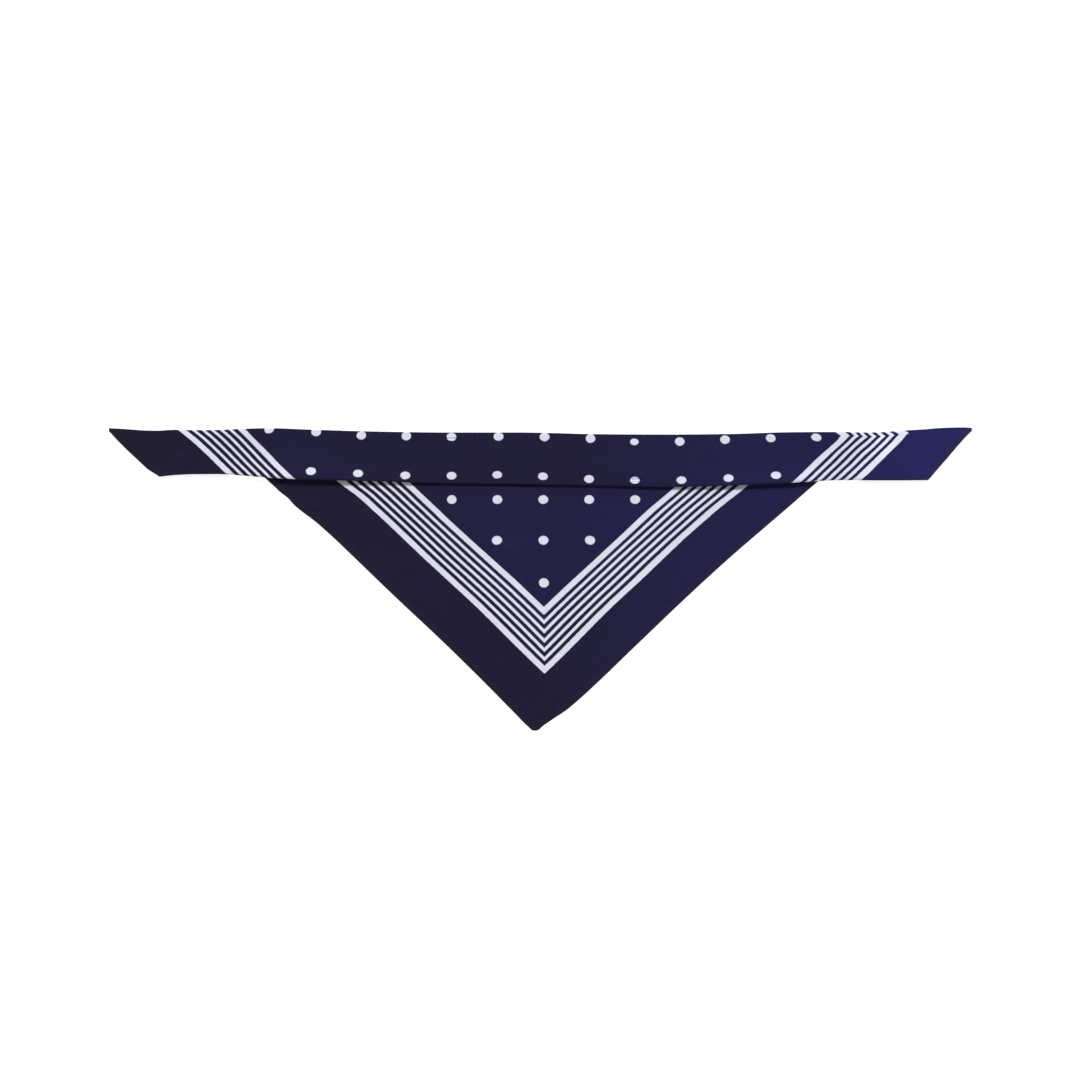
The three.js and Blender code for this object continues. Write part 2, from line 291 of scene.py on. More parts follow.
# How much further out than that the border lies, in dot pitches, at its outer edge, its middle and its inner edge,
# on the left (l) and on the right (r); the middle's counts from the mean of the other two.
DROP_BORDER = rows(
    "y out_l mid_l in_l in_r mid_r out_r",
    (-88.0, 0.000, 0.000, 0.000, 0.000, 0.000, 0.000),
    (-45.0, 0.002, 0.004, 0.000, 0.000, 0.000, 0.000),
    (-19.8, 0.006, 0.006, -0.012, -0.004, 0.002, -0.001),
    (-1.0, 0.001, 0.000, -0.008, -0.012, 0.012, -0.009),
    (17.7, -0.001, -0.004, -0.015, -0.026, 0.022, -0.004),
    (36.5, 0.014, 0.002, -0.020, -0.024, 0.014, 0.002),
    (55.3, 0.034, 0.008, -0.010, -0.006, 0.008, -0.014),
    (64.7, 0.038, 0.008, 0.008, 0.004, 0.010, -0.027),
    (74.1, 0.040, 0.011, 0.020, -0.010, 0.016, -0.055),
    (79.7, 0.030, 0.020, 0.030, -0.022, 0.026, -0.081),
    (85.3, -0.005, 0.028, 0.036, -0.030, 0.028, -0.096),
    (90.0, -0.030, 0.030, 0.040, -0.035, 0.028, -0.105),
)
BAND_BORDER = rows(
    "y out_l mid_l in_l in_r mid_r out_r",
    (93.8, -0.004, 0.014, 0.000, -0.010, 0.012, 0.028),
    (99.4, 0.000, 0.010, 0.007, 0.006, 0.010, 0.009),
    (109.7, 0.014, -0.018, 0.002, 0.020, -0.015, 0.020),
    (117.0, 0.035, -0.024, 0.002, 0.016, -0.006, 0.022),
    (125.7, 0.046, -0.013, -0.006, -0.018, 0.014, -0.001),
    (130.4, 0.045, 0.000, -0.010, -0.030, 0.020, -0.014),
    (134.1, 0.034, 0.008, -0.012, -0.012, -0.014, 0.002),
    (136.0, 0.027, 0.007, -0.009, -0.012, -0.044, 0.008),
    (138.0, 0.020, 0.004, -0.006, -0.016, -0.084, -0.030),
    (141.0, 0.010, 0.000, 0.000, -0.018, -0.090, -0.050),
)
# Where a small pinch takes up cloth: how much more of it there is along u and v, and how far that reaches.
PINCHES = rows(
    "u v more_u more_v reach",
    (2.0, 0.0, 0.15, 0.32, 0.24),
    (2.0, -1.0, 0.03, 0.10, 0.20),
    (-2.0, 0.0, 0.0, 0.06, 0.20),
)

# ---------------------------------------------------------------- unevenness of the laying
# Soft ridges (height over 0) and troughs (under 0) in one layer, along a line from a to b, bowed sideways.
CREASES = rows(
    "lane ax ay bx by width height bow",
    (6, -74, 132.8, -93, 132.2, 0.60, -1.00, 0.2),
    (6, -150, 131.5, -92, 134.2, 3.0, -0.40, -0.8),
    (6, 98, 127.4, 84, 134.8, 0.60, -0.80, 0.3),
    (6, 101, 94.3, 79, 93.3, 0.60, -1.15, -0.3),
    (6, 96, 96.4, 118, 93.5, 2.2, -0.40, 0.6),
    (6, -352, 121, -318, 133, 4.0, 0.50, 2.0),
    (6, -236, 112, -176, 104, 5.0, 0.45, 3.0),
    (6, -30, 119, 52, 113, 6.0, 0.40, -3.0),
    (6, 142, 112, 196, 118, 5.0, 0.40, 2.5),
    (6, 296, 124, 338, 108, 4.5, 0.45, -2.0),
    (2, -236, 74, -196, 60, 4.5, 0.70, 2.0),
    (2, -190, 76, -150, 34, 7.0, 0.50, 3.0),
    (2, -92, 70, -66, 8, 8.0, 0.45, -4.0),
    (2, 40, 58, 30, -30, 9.0, 0.40, 5.0),
    (2, 116, 72, 84, 14, 7.0, 0.50, -4.0),
    (2, 211, 90, 227, 70, 4.2, -0.55, 1.0),
    (2, 240, 84, 205, 60, 5.5, 0.50, 2.0),
    (2, 70, -58, 34, -98, 5.0, 0.45, 2.5),
    (2, -76, -52, -38, -92, 5.5, 0.45, -2.0),
    (1, -150, 50, -90, -20, 7.0, 0.25, 3.0),
    (1, 60, 40, 120, 10, 7.0, 0.22, 3.0),
)
# Slow swells that all layers share, and those that only the uppermost layer has.
SWELLS = rows(
    "direction wave height phase",
    (12, 148, 0.10, 0.4),
    (78, 96, 0.07, 2.1),
    (131, 73, 0.05, 4.4),
    (38, 61, 0.04, 1.3),
)
TOP_SWELLS = rows(
    "direction wave height phase",
    (5, 97, 0.13, 1.9),
    (52, 58, 0.10, 0.7),
    (118, 44, 0.08, 3.3),
    (160, 71, 0.09, 5.2),
    (88, 33, 0.04, 2.6),
)


# ---------------------------------------------------------------- reading the tables
def curve(table, at, column="y", by="x"):
    """A smooth line through a table's rows that doesn't overshoot, carried on straight past its ends."""
    xs, ys, at = table[by], table[column], np.asarray(at, float)
    step = np.diff(xs)
    slope = np.diff(ys) / step
    if len(xs) == 2:
        return ys[0] + slope[0] * (at - xs[0])
    m = np.empty(len(ys))
    m[0], m[-1] = slope[0], slope[-1]
    a, b = slope[:-1], slope[1:]
    same = a * b > 0
    wa, wb = 2 * step[1:] + step[:-1], step[1:] + 2 * step[:-1]
    m[1:-1] = np.where(same, (wa + wb) / (wa / np.where(same, a, 1) + wb / np.where(same, b, 1)), 0)
    i = np.clip(np.searchsorted(xs, at) - 1, 0, len(step) - 1)
    h, t = step[i], (at - xs[i]) / step[i]
    inner = (
        ys[i] * (1 + 2 * t) * (1 - t) ** 2
        + ys[i + 1] * t * t * (3 - 2 * t)
        + h * m[i] * t * (1 - t) ** 2
        + h * m[i + 1] * t * t * (t - 1)
    )
    before, after = ys[0] + m[0] * (at - xs[0]), ys[-1] + m[-1] * (at - xs[-1])
    return np.where(at < xs[0], before, np.where(at > xs[-1], after, inner))


def ease(t):
    t = np.clip(t, 0, 1)
    return t * t * (3 - 2 * t)


def bell(t):
    return np.exp(-t * t)


def top_edge(x):
    return curve(BAND, np.clip(x, -405.5, 405.5), "top")


def low_edge(x):
    return curve(BAND, np.clip(x, -405.5, 405.5), "low")


def hem_end(x):
    """The front half's hem on the band's slanted ends, as a height over x."""
    return np.where(np.asarray(x) < 0, curve(END_LEFT, x), curve(END_RIGHT, x))


def hem_pleat(x):
    """The front half's hem inside the pleat."""
    return np.where(np.asarray(x) < 0, curve(PLEAT_LEFT, x), curve(PLEAT_RIGHT, x))


def far_from(px, py, lx, ly):
    """Distance from points to a chain of straight lines."""
    best = np.full(np.shape(px), 1e9)
    for ax, ay, bx, by in zip(lx[:-1], ly[:-1], lx[1:], ly[1:]):
        dx, dy = bx - ax, by - ay
        t = np.clip(((px - ax) * dx + (py - ay) * dy) / (dx * dx + dy * dy), 0, 1)
        best = np.minimum(best, np.hypot(px - ax - t * dx, py - ay - t * dy))
    return best


def chain(table, n):
    xs = np.linspace(table["x"][0], table["x"][-1], n)
    return xs, curve(table, xs)


DROP_CHAIN = chain(HEM, 150)
LEFT_CHAIN = chain(END_LEFT, 24)
RIGHT_CHAIN = chain(END_RIGHT, 24)


def past_drop(x, y, inset):
    """How far outside the drop's hem a point is, across the hem; negative inside. inset is 0 for the front half."""
    away = far_from(x, y, DROP_CHAIN[0], DROP_CHAIN[1] + inset)
    outside = (y < curve(HEM, x) + inset) | (x < HEM["x"][0]) | (x > HEM["x"][-1])
    return np.where(outside, away, -away)


def past_pleat(x, y, inset):
    """The same for the hem inside the pleat."""
    out = []
    for table, up in ((PLEAT_LEFT, 1), (PLEAT_RIGHT, 1)):
        (ax, bx), (ay, by) = table["x"], table["y"] - inset
        run = math.hypot(bx - ax, by - ay)
        out.append(up * ((y - ay) * (bx - ax) - (x - ax) * (by - ay)) / run)
    return np.maximum(out[0], out[1])


def past_end(x, y, inset):
    """The same for the band's slanted ends."""
    left = far_from(x, y, LEFT_CHAIN[0], LEFT_CHAIN[1] + inset)
    right = far_from(x, y, RIGHT_CHAIN[0], RIGHT_CHAIN[1] + inset)
    left = np.where(y < curve(END_LEFT, x) + inset, left, -left)
    right = np.where(y < curve(END_RIGHT, x) + inset, right, -right)
    return np.where(x < 0, left, right)


def relief(lane, x, y):
    """The creases of one layer."""
    z = np.zeros(np.broadcast(x, y).shape)
    c = CREASES
    for i in np.flatnonzero(c["lane"] == lane):
        ax, ay, bx, by = c["ax"][i], c["ay"][i], c["bx"][i], c["by"][i]
        run = math.hypot(bx - ax, by - ay)
        t = ((x - ax) * (bx - ax) + (y - ay) * (by - ay)) / run**2
        d = ((y - ay) * (bx - ax) - (x - ax) * (by - ay)) / run
        inside = np.clip(t, 0, 1)
        d = d - c["bow"][i] * np.sin(math.pi * inside)
        # one flank steeper than the other, fading in and out along its length
        width = c["width"][i] * np.where(d > 0, 1.35, 0.8) * (0.75 + 0.5 * inside)
        fade = ease(1.15 - np.abs(2 * t - 1) * 1.15) ** 0.8
        z = z + c["height"][i] * bell(d / width) * fade
    return z


def swell(table, x, y):
    z = np.zeros(np.broadcast(x, y).shape)
    for direction, wave, height, phase in zip(*(table[k] for k in ("direction", "wave", "height", "phase"))):
        a = math.radians(direction)
        along = (x * math.cos(a) + y * math.sin(a)) / wave * 2 * math.pi + phase
        z = z + height * (1 + np.sin(along + 0.6 * np.sin(0.37 * along + phase)))
    return z


# ---------------------------------------------------------------- heights of the layers
CLEAR = 0.6  # a layer starts to come down this far outside the hem below it
SETTLE = 4.5  # and comes down over this width: one layer over one hem,
SETTLE_PLEAT = 8.0  # two layers over the pleat's hems,
SETTLE_STACK = 14.0  # and the whole pleat over the drop's hem
FOLD_TURN = 0.55  # half the width of the fold along the top edge


def under(past, width):
    """How much of a layer is felt by what lies on it, from 1 over the layer to 0 well past its hem."""
    return 1 - ease((past - CLEAR) / width)


def fold_y(x):
    """Where lane 6 turns over into lane 5."""
    return top_edge(x) - FOLD_TURN - HALF


def back_end(x, low):
    """Where lane 5 ends, at its hem or at the pleat's lower fold."""
    return np.minimum(np.maximum(low, hem_end(x) + BACK_INSET), fold_y(x) - 0.5)


def spacing(x, y):
    """From layer to layer in the pleat: fuller in its folded edges than between them."""
    low = np.maximum(y - low_edge(x), 0)
    top = np.maximum(top_edge(x) - y, 0)
    full_low, full_top = curve(LOFT, x, "low"), curve(LOFT, x, "top")
    return PITCH + (full_low - PITCH) * bell(low / 9) + (full_top - PITCH) * bell(top / 8)


def height(lane, x, y):
    """The middle of a layer above the surface."""
    x, y = np.broadcast_arrays(np.asarray(x, float), np.asarray(y, float))
    z = REST + swell(SWELLS, x, y)
    if lane == 1:
        return z + relief(1, x, y) * ease((low_edge(x) - y) / 12)
    first, front = past_drop(x, y, BACK_INSET), past_drop(x, y, 0)
    near_top = PITCH + (curve(LOFT, x, "top") - PITCH) * bell(np.maximum(top_edge(x) - y, 0) / 8)
    if lane == 2:
        # what lies free below the band may rise; under the band it is pressed flat
        free = ease((low_edge(x) - y + 1) / 13)
        on = under(first, SETTLE)
        hem = HEM_LIFT * (1 - on) * ease((HEM_WIDTH + 1 + front) / 2)
        # at the sides both halves' hems come together at the fold, and the front half rides over
        hem = hem + 0.08 * ease((np.abs(x) - 250) / 14)
        return z + near_top * on + hem + free * (relief(2, x, y) + swell(TOP_SWELLS, x, y) * ease(-front / 14))
    g = spacing(x, y)
    z = z + near_top * under(first, SETTLE_STACK) + g * under(front, SETTLE_STACK)
    z = z + curve(LIFT, x, "low") * bell(np.maximum(y - low_edge(x), 0) / 13)
    if lane == 3:
        return z
    if lane == 4:
        return z + g
    z = z + g * (
        under(past_pleat(x, y, 0), SETTLE_PLEAT) + under(past_pleat(x, y, BACK_INSET), SETTLE_PLEAT)
    )
    if lane == 5:
        return z
    low = low_edge(x) + 1.5 * curve(LOFT, x, "low") + HALF
    past_back = np.where(np.abs(x) > 330, (back_end(x, low) - y) * math.sqrt(0.5), -50.0)
    on = under(past_back, SETTLE)
    hem = HEM_LIFT * (1 - on) * ease((HEM_WIDTH + 1 + past_end(x, y, 0)) / 2)
    inner = top_edge(x) - y - 1.0
    return z + g * on + hem + ease(inner / 3.2) * relief(6, x, y) + 0.8 * ease(inner / 6) * swell(TOP_SWELLS, x, y)


# ---------------------------------------------------------------- where the print falls
def moved(u, v, y, table):
    """u, moved so that the border's two edges fall where the table has them."""
    y = np.clip(y, table["y"][0], table["y"][-1])
    left = u < 0
    inner, middle, outer = (
        np.where(left, curve(table, y, k + "_l", "y"), curve(table, y, k + "_r", "y")) for k in ("in", "mid", "out")
    )
    at_in, at_out = np.maximum(STRIPES_IN - np.abs(v), 0.02), np.maximum(STRIPES_OUT - np.abs(v), 0.04)
    before = ease((np.abs(u) - at_in) / np.minimum(at_in, 0.8) + 1)
    share = np.clip((np.abs(u) - at_in) / (at_out - at_in), 0, 1)
    more = inner + (outer - inner) * share + middle * 4 * share * (1 - share)
    return u + np.where(left, -1, 1) * before * more


def pinched(u, v):
    for pu, pv, more_u, more_v, reach in zip(*PINCHES.values()):
        du, dv = u - pu, v - pv
        near = bell(np.hypot(du, dv) / reach)
        u, v = u + more_u * du * near, v + more_v * dv * near
    return u, v


def print_on_band(x, y):
    u = (x - 3.8) / 43
    for _ in range(14):
        x0, y0 = curve(PRINT_FOLD, u, "x", "u"), curve(PRINT_FOLD, u, "y", "u")
        x1, y1 = curve(PRINT_ROW, u, "x", "u"), curve(PRINT_ROW, u, "y", "u")
        w = (y - y0) / (y1 - y0)
        u = u + (x - x0 - w * (x1 - x0)) / 43
    # over the fold between the border's stripes on the right the cloth falls away
    hooks = ease((u - 6.3) / 0.5) * (1 - ease((u - 8.3) / 0.6))
    w = np.where(w < 0, w * (1 + hooks * (0.12 - 3.2 * np.minimum(w, 0))), w)
    # the dots by the lower edge are lower than they are wide: the cloth is pulled there, and it falls away
    t = np.clip(w, 0, 1)
    more = np.where(w < 0, -0.03 * w, np.where(w > 1, 0.10 * (w - 1), 0))
    more = more - 0.03 * (t**3 - 2 * t**2 + t) + 0.10 * (t**3 - t**2)
    among_dots = 1 - ease((np.abs(u) - 5.3) / 0.7)
    return pinched(moved(u, -w, y, BAND_BORDER), -w - more * among_dots)


def print_on_drop(x, y):
    v = curve(PRINT_DROP, y, "v", "y")
    u = (x - curve(PRINT_DROP, y, "middle", "y")) / curve(PRINT_DROP, y, "pitch", "y")
    return moved(u, v, y, DROP_BORDER), v


# ---------------------------------------------------------------- stretches of cloth in sections
# A stretch is a dict of arrays with a row for each line along X and a column for each section: y and z of the
# layer's middle, ny and nz across the layer to its right side, and hem, the distance in from the hem.
def lay(lane, x, ys, right):
    ys = np.atleast_2d(ys)
    xs = np.broadcast_to(x, ys.shape)
    past = {
        1: lambda: past_drop(xs, ys, BACK_INSET),
        2: lambda: past_drop(xs, ys, 0),
        3: lambda: past_pleat(xs, ys, 0),
        4: lambda: past_pleat(xs, ys, BACK_INSET),
        5: lambda: past_end(xs, ys, BACK_INSET),
        6: lambda: past_end(xs, ys, 0),
    }[lane]()
    flat = np.zeros(ys.shape)
    return {"y": ys, "z": height(lane, xs, ys), "ny": flat, "nz": flat + right, "hem": -past}


def turn(x, start, end, yc, half_width, side, right, steps, first=0.0, last=1.0):
    """A fold from lane start to lane end round yc, bulging to side (1 is +Y). right is 1 where the right side of the
    cloth is outside. first and last are the shares of the turn at which it starts and ends."""
    z0, z1 = height(start, x, yc), height(end, x, yc)
    up = 1 if end > start else -1
    share = first + (last - first) * np.linspace(0, 1, steps + 1)[:, None] + 0 * x
    angle = up * math.pi * (share - 0.5)
    y = yc + side * half_width * np.cos(angle)
    z = (z0 + z1) / 2 + np.abs(z1 - z0) / 2 * np.sin(angle)
    hems = [lay(k, x, yc, 1)["hem"][0] for k in (start, end)]
    hem = hems[0] + (hems[1] - hems[0]) * share
    return {"y": y, "z": z, "ny": right * side * np.cos(angle), "nz": right * np.sin(angle), "hem": hem}


def join(*stretches):
    return {k: np.vstack([s[k] for s in stretches]) for k in stretches[0]}


def spaced(start, end, at):
    """Lines from start to end: at is their distances from start, and where the stretch is short they are drawn in."""
    at = np.asarray(at, float)[:, None]
    room = np.abs(end - start)
    return start + np.sign(end - start) * at * np.minimum(1, room / (2 * at[-1]))


def between(start, end, n, ends=True):
    t = np.linspace(0, 1, n + 1)[:, None]
    t = t if ends else t[1:]
    return start + (end - start) * t


def arcs(s):
    """Length of cloth from the first row of a stretch."""
    step = np.hypot(np.diff(s["y"], axis=0), np.diff(s["z"], axis=0))
    return np.vstack([np.zeros(step.shape[1]), np.cumsum(step, axis=0)])


def columns(low, high, step, fine=()):
    """Sections from low to high: close together at both ends, and in each stretch of fine."""
    edge = np.array([0, 0.1, 0.34, 0.8, 1.5])
    parts = [low + edge, high - edge, np.arange(low + 2.5, high - 2.4, step)]
    for a, b, s in fine:
        parts = [p[(p < a - s / 2) | (p > b + s / 2)] for p in parts] + [np.arange(a, b + s / 2, s)]
    return np.unique(np.round(np.concatenate(parts), 4))


# Distances from a hem, along Y, at which there is a line of the mesh.
HEM_LINES = [0, 0.14, 0.45, 1.0, 2.2, 3.8, 5.4, 6.4, 7.0, 7.6, 8.1, 8.6, 9.2, 10.2, 12.0, 14.6]
BAND_LINES = [0, 0.14, 0.45, 1.0, 1.7, 2.4, 3.0, 3.4, 3.8, 4.2, 4.6, 5.0, 5.4, 5.8, 6.2, 6.6, 7.0, 7.6, 8.1, 8.6, 9.2, 10.2, 12.0, 14.6]
CUT_LINES = [0, 0.12, 0.34, 1.6]


def crossing(f, low, high):
    """Where f changes sign between low and high."""
    at = np.linspace(low, high, 2001)
    v = f(at)
    i = np.flatnonzero(np.sign(v[:-1]) != np.sign(v[1:]))
    return float(at[i[0]]) if len(i) else (low + high) / 2


def lower_fold(x):
    """The middle of the pleat's lower fold and its radius, so that it reaches down to the band's lower edge."""
    radius = 1.5 * curve(LOFT, x, "low")
    for _ in range(3):
        yc = low_edge(x) + radius + HALF
        radius = np.maximum((height(6, x, yc) - height(3, x, yc)) / 2, 0.4)
    return low_edge(x) + radius + HALF, radius


def top_fold(x):
    """The same for the hidden top fold, which lies a little inside the band's top edge."""
    radius = 1.5 * curve(LOFT, x, "top")
    return top_edge(x) - 1.5 - HALF - radius, radius


def cloth_past(x, yc, radius, on_band, on_pleat, inset):
    """How much cloth is left past the start of the lower fold. It is negative where the hem lies on the band itself."""
    full = math.pi * radius
    left = crossing(lambda q: on_band(q) - np.interp(q, x, yc), -380, -340), crossing(
        lambda q: on_pleat(q) - np.interp(q, x, yc), -362, -335
    )
    right = crossing(lambda q: on_band(q) - np.interp(q, x, yc), 340, 385), crossing(
        lambda q: on_pleat(q) - np.interp(q, x, yc), 335, 370
    )
    a, b = np.where(x < 0, left[0], right[0]), np.where(x < 0, left[1], right[1])
    round_it = full * np.clip((x - a) / (b - a), 0, 1)
    beyond = np.abs(x) > np.abs(a)
    inside = np.abs(x) < np.abs(b)
    return np.where(beyond, yc - on_band(x), np.where(inside, full + on_pleat(x) - yc, round_it))


# ---------------------------------------------------------------- making the meshes
MM = (cad_high.x - cad_low.x) / (BAND["x"][-1] - BAND["x"][0])  # metres in a millimetre, by the frame
CENTRE = (cad_low + cad_high) / 2


def to_row(points):
    made = np.asarray(points, float) * MM
    return made + np.array([CENTRE.x, CENTRE.y, cad_low.z])


def shell(name, x, s, u, v, flip=1):
    """A closed thin shell round a stretch: its right side and its wrong side, joined by a rounded edge."""
    n, c = s["y"].shape
    arc = arcs(s)

    def cap(a):
        return np.sqrt(np.maximum(1 - (1 - np.clip(a / EDGE_ROUND, 0, 1)) ** 2, 0))

    edge = cap(arc) * cap(arc[-1] - arc) * (cap(x - x[0]) * cap(x[-1] - x))[None]
    hem = 1 - ease((s["hem"] - HEM_WIDTH + 0.3) / 0.6)
    soft = 1 - ease((s["hem"] - HEM_WIDTH + 1.2) / 1.6)
    stitched = 0.5 * bell((s["hem"] - STITCH_IN) / 0.55)
    right = (HALF + HEM_RIGHT * soft - HEM_RIGHT * stitched) * edge
    wrong = (HALF + HEM_WRONG * hem - 0.25 * HEM_WRONG * stitched) * edge
    xs = np.broadcast_to(x, (n, c))
    sides = []
    for amount, way in ((right, 1), (wrong, -1)):
        sides.append(np.stack([xs, s["y"] + way * amount * s["ny"], s["z"] + way * amount * s["nz"]], axis=-1))
    points = np.concatenate([p.reshape(-1, 3) for p in sides])
    index = np.arange(n * c).reshape(n, c)
    a, b, d, e = index[:-1, :-1], index[:-1, 1:], index[1:, 1:], index[1:, :-1]
    quads = np.stack([a, b, d, e], axis=-1).reshape(-1, 4)
    if flip < 0:
        quads = quads[:, ::-1]
    faces = np.concatenate([quads, quads[:, ::-1] + n * c])
    side = np.concatenate([np.ones(len(quads)), np.zeros(len(quads))])
    cloth = np.stack([np.concatenate([g.ravel(), g.ravel()]) for g in (u, v, s["hem"])], axis=-1)
    # points that coincide become one, and the faces that this leaves with no area are dropped
    _, first, same = np.unique(np.round(points / 0.004).astype(np.int64), axis=0, return_index=True, return_inverse=True)
    same = same.ravel()
    welded = same[faces]
    polygons, corners, sides_of = [], [], []
    for f, w, k in zip(faces.tolist(), welded.tolist(), side.tolist()):
        keep = [i for i in range(4) if w[i] != w[i - 1]]
        if len(keep) > 2 and len({w[i] for i in keep}) == len(keep):
            polygons.append([w[i] for i in keep])
            corners.extend(f[i] for i in keep)
            sides_of.extend([k] * len(keep))
    mesh = bpy.data.meshes.new(name)
    mesh.from_pydata(to_row(points[first]).tolist(), [], polygons)
    mesh.update()
    corners = np.array(corners)
    for layer, values in (
        ("print", cloth[corners, :2]),
        ("make", np.stack([np.array(sides_of), cloth[corners, 2] / 10], axis=-1)),
    ):
        uv = mesh.uv_layers.new(name=layer)
        uv.data.foreach_set("uv", values.astype(np.float32).ravel())
    mesh.validate()
    mesh.shade_smooth()
    obj = bpy.data.objects.new(name, mesh)
    bpy.context.scene.collection.objects.link(obj)
    return obj


RETURN_INNER = 8.0  # how far a shown stretch runs on into the pleat, on the front half's cloth
RETURN_OUTER = 5.0  # and on the back half's
CUT_GAP = 0.3


def make_drop_front():
    def room(q):
        return top_fold(q)[0] - curve(HEM, q)

    low, high = crossing(lambda q: room(q) - 1.0, -303.5, -280), crossing(lambda q: room(q) - 1.0, 280, 305)
    x = columns(low, high, 2.6, [(-14, 6, 0.8), (-250, -200, 1.6)])
    start = curve(HEM, x)
    yc, _ = top_fold(x)
    hem = spaced(start, yc, HEM_LINES)
    main = between(hem[-1], yc, 84, ends=False)
    radius = (height(3, x, yc) - height(2, x, yc)) / 2
    back = between(yc, yc - RETURN_INNER, 4, ends=False)
    cut = spaced(back[-1], yc, CUT_LINES)[::-1]
    body = lay(2, x, np.vstack([hem, main]), 1)
    s = join(body, turn(x, 2, 3, yc, radius, 1, -1, 7), lay(3, x, np.vstack([back[:-1], cut]), -1))
    n = len(body["y"])
    u, v = print_on_drop(np.broadcast_to(x, (n, len(x))), body["y"])
    arc = arcs(s)
    rest = len(s["y"]) - n
    u = np.vstack([u, np.repeat(u[-1:], rest, axis=0)])
    v = np.vstack([v, v[-1] + (arc[n:] - arc[n - 1]) / PITCH_ACROSS])
    return shell("drop_front_cloth", x, s, u, v)


def make_drop_back():
    def room(q):
        return top_fold(q)[0] - curve(HEM, q) - BACK_INSET

    low, high = crossing(lambda q: room(q) - 1.0, -303.5, -270), crossing(lambda q: room(q) - 1.0, 270, 305)
    x = columns(low, high, 3.2, [(-12, 4, 1.2)])
    start = curve(HEM, x) + BACK_INSET
    yc, _ = top_fold(x)
    hem = spaced(start, yc, HEM_LINES)
    main = between(hem[-1], yc, 60, ends=False)
    radius = (height(4, x, yc) - height(1, x, yc)) / 2
    back = between(yc, yc - RETURN_OUTER, 3, ends=False)
    cut = spaced(back[-1], yc, CUT_LINES)[::-1]
    body = lay(1, x, np.vstack([hem, main]), -1)
    s = join(body, turn(x, 1, 4, yc, radius, 1, 1, 12), lay(4, x, np.vstack([back[:-1], cut]), 1))
    n = len(body["y"])
    u, v = print_on_drop(np.broadcast_to(x, (n, len(x))), body["y"])
    v = -v + BACK_INSET / PITCH_ACROSS
    arc = arcs(s)
    rest = len(s["y"]) - n
    u = np.vstack([u, np.repeat(u[-1:], rest, axis=0)])
    v = np.vstack([v, v[-1] - (arc[n:] - arc[n - 1]) / PITCH_ACROSS])
    return shell("drop_back_cloth", x, s, u, v, flip=-1)


def make_band():
    fine = [(-366, -340, 0.7), (340, 370, 0.7)]
    x = columns(BAND["x"][0], BAND["x"][-1], 2.8, fine)
    top, yc3_r = top_edge(x), lower_fold(x)
    yc, radius = yc3_r
    inner = np.maximum((height(5, x, yc) - height(4, x, yc)) / 2, 0.3)
    end, end_back = hem_end(x), hem_end(x) + BACK_INSET
    # the front half: back from lane 6 into the pleat
    past = cloth_past(x, yc, radius, hem_end, hem_pleat, 0)
    full = math.pi * radius
    share = np.clip(past / full, 0, 1)
    back = np.clip(past - full, 0, RETURN_INNER)
    start = np.where(past < 0, end, yc)
    # at the tips the section is drawn in so that its fold still fits
    room = np.maximum(top - start, FOLD_TURN + HALF + 1.3)
    squeeze = (top - start) / room
    start = top - room
    fold = fold_y(x)
    # the back half: lane 5 down to its hem, or round the inner fold into the pleat
    past_back = cloth_past(
        x, yc, inner, lambda q: hem_end(q) + BACK_INSET, lambda q: hem_pleat(q) - BACK_INSET, BACK_INSET
    )
    full_back = math.pi * inner
    share_back = np.clip(past_back / full_back, 0, 1)
    on_back = np.clip(past_back - full_back, 0, RETURN_OUTER)
    stop = back_end(x, yc)

    cut = spaced(yc + back, yc, CUT_LINES)
    first = lay(3, x, np.vstack([cut, between(cut[-1], yc, 3, ends=False)]), -1)
    low = turn(x, 3, 6, yc, radius, -1, 1, 14, first=1 - share, last=1.0)
    hem = spaced(start, fold, BAND_LINES)
    # close together by the top edge, where the creases are
    at = np.unique(
        np.concatenate([np.linspace(0, 0.60, 13), np.linspace(0.60, 0.76, 8), np.linspace(0.76, 0.93, 25), [0.97, 1]])
    )
    body = lay(6, x, np.vstack([hem, hem[-1] + (fold - hem[-1]) * at[1:, None]]), 1)
    for part in (first, low):
        none = share <= 0
        for k in part:
            part[k] = np.where(none, body[k][0], part[k])
    over = turn(x, 6, 5, fold, FOLD_TURN, 1, 1, 8)
    last_hem = spaced(stop, fold, HEM_LINES)[::-1]
    down = lay(5, x, np.vstack([between(fold, last_hem[0], 8, ends=False), last_hem[1:]]), -1)
    inside = turn(x, 5, 4, yc, inner, -1, -1, 6, first=0.0, last=share_back)
    tail_cut = spaced(yc + on_back, yc, CUT_LINES)[::-1]
    tail = lay(4, x, np.vstack([between(yc, tail_cut[0], 2, ends=False), tail_cut[1:]]), 1)
    for part in (inside, tail):
        none = share_back <= 0
        for k in part:
            part[k] = np.where(none, down[k][-1], part[k])
        if part is tail:
            partly = on_back <= 0
            for k in part:
                part[k] = np.where(partly & ~none, inside[k][-1], part[k])
    partly = (back <= 0) & (share > 0)
    for k in first:
        first[k] = np.where(partly, low[k][0], first[k])
    s = join(first, low, body, over, down, inside, tail)
    s["y"] = top - (top - s["y"]) * squeeze
    a = len(first["y"]) + len(low["y"])
    n = len(body["y"])
    u, v = print_on_band(np.broadcast_to(x, (n, len(x))), s["y"][a : a + n])
    arc = arcs(s)
    rest = len(s["y"]) - a - n
    v = np.vstack(
        [
            v[:1] - (arc[a] - arc[:a]) / PITCH_ACROSS,
            v,
            v[-1] + (arc[a + n :] - arc[a + n - 1]) / PITCH_ACROSS,
        ]
    )
    u = np.vstack([np.repeat(u[:1], a, axis=0), u, np.repeat(u[-1:], rest, axis=0)])
    return shell("band_cloth", x, s, u, v)


